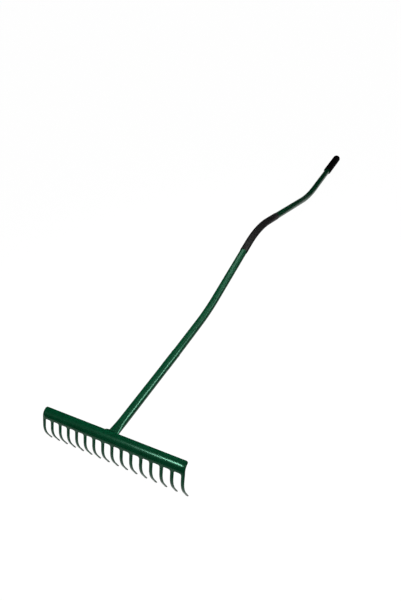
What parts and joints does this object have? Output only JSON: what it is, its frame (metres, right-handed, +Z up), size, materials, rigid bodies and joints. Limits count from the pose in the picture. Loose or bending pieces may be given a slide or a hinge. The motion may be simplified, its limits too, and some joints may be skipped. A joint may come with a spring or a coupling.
{
  "type": "garden rake",
  "caption": "Long-handled garden rake: a pressed steel head of curved tines under a rolled flange, welded to a cranked tube handle with two grips.",
  "frame": {"origin": "on the floor, under the middle of the rake's length and width", "axes": "+Z up from the floor on which the tine tips and the end grip rest, +Y along the length from the head towards the end grip, +X along the head to the right as seen from the tine side looking towards the handle"},
  "size_m": [0.4056, 1.6748, 0.1369],
  "materials": {
    "green_enamel": "gloss dark green enamel on steel",
    "charcoal_vinyl": "matte charcoal sleeve",
    "black_rubber": "matte black moulded grip"
  },
  "bodies": {
    "root": {"rake_head": "green_enamel", "head_socket": "green_enamel", "lip_weld": "green_enamel", "side_weld_left": "green_enamel", "side_weld_right": "green_enamel", "handle_tube": "green_enamel", "mid_grip": "charcoal_vinyl", "end_grip": "black_rubber"}
  },
  "joints": []
}
